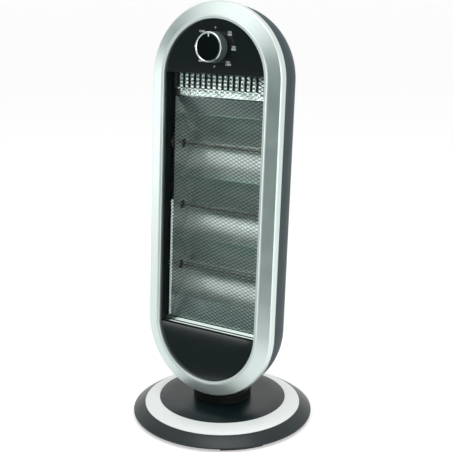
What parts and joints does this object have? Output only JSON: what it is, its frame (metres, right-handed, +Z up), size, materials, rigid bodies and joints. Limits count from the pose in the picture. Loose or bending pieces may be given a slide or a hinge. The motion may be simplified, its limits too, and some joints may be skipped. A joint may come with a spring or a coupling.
{
  "type": "halogen heater",
  "caption": "Free-standing tower halogen heater: pill-shaped leaning head with mesh-guarded reflector and quartz tubes, selector knob, swivelling neck, round domed base.",
  "frame": {"origin": "centre of the round base, on the plane that the rubber feet rest on; it is also the head's swing axis", "axes": "+Z up, -Y out of the heating front, +X to the right seen from the front"},
  "size_m": [0.273, 0.2729, 0.618],
  "materials": {
    "silver_lacquer": "silver metallic lacquer over moulded plastic, satin gloss",
    "gloss_black": "injection-moulded, high gloss",
    "shell_charcoal": "injection-moulded, fine texture",
    "satin_black": "injection-moulded, satin",
    "knob_grey": "injection-moulded, satin",
    "guard_black": "black enamel on steel wire",
    "bright_sheet": "bright-rolled, mirror-like",
    "zinc_steel": "zinc-plated sheet and screws",
    "black_steel": "black-passivated screws",
    "quartz": "clear fused quartz",
    "heating_coil": "wound heating wire",
    "ceramic": "unglazed white ceramic",
    "chrome_trim": "bright chrome plating",
    "iron": "raw casting",
    "foot_rubber": "moulded, matt",
    "bush_brass": "turned",
    "white_plastic": "moulded white plastic, and white printing"
  },
  "bodies": {
    "base": {"base_cover": "gloss_black", "base_ring": "silver_lacquer", "base_plate": "satin_black", "base_ballast": "iron", "rubber_feet": "foot_rubber", "base_screws": "zinc_steel", "spindle_bush": "bush_brass", "thrust_washer": "white_plastic", "swing_motor": "zinc_steel", "motor_screws": "zinc_steel", "tip_switch": "satin_black", "cord_inlet": "satin_black"},
    "head": {"front_bezel": "silver_lacquer", "front_panel": "gloss_black", "guard_mesh": "guard_black", "reflector": "bright_sheet", "end_plate_left": "zinc_steel", "end_plate_right": "zinc_steel", "quartz_tube_top": "quartz", "quartz_tube_middle": "quartz", "quartz_tube_bottom": "quartz", "filaments": "heating_coil", "tube_end_caps": "ceramic", "tube_bracket_left": "zinc_steel", "tube_bracket_right": "zinc_steel", "thermal_cutout": "satin_black", "terminal_block": "ceramic", "selector_switch": "satin_black", "rear_shell": "shell_charcoal", "shell_screws": "black_steel", "bezel_screws": "zinc_steel", "reflector_screws": "zinc_steel", "swing_collar": "satin_black", "swivel_spindle": "zinc_steel", "swivel_screws": "zinc_steel", "spindle_clip": "zinc_steel", "swing_lever": "white_plastic"},
    "crank": {"motor_shaft": "zinc_steel", "crank_arm": "white_plastic"},
    "knob": {"selector_shaft": "zinc_steel", "selector_knob": "knob_grey", "knob_ring": "chrome_trim", "knob_cap": "gloss_black"},
    "plunger": {"tip_plunger": "white_plastic"}
  },
  "joints": [
    {"name": "head_swing", "type": "hinge", "parent": "base", "child": "head", "pos_m": [0, 0, 0.04], "axis": [0, 0, 1], "range_deg": [-30, 30]},
    {"name": "crank_turn", "type": "hinge", "parent": "base", "child": "crank", "pos_m": [0, 0.02, 0.02], "axis": [0, 0, 1], "range_deg": [-90, 90]},
    {"name": "selector_turn", "type": "hinge", "parent": "head", "child": "knob", "pos_m": [0, -0.02866, 0.55571], "axis": [0, -0.9981, 0.061], "continuous": true},
    {"name": "tip_plunger_slide", "type": "slide", "parent": "base", "child": "plunger", "axis": [0, 0, -1], "range_m": [0, 0.004], "stiffness_N_per_m": 60, "springref_m": 0.006}
  ],
  "couplings": [
    {"joint": "crank_turn", "follows": "head_swing", "ratio": 3}
  ]
}
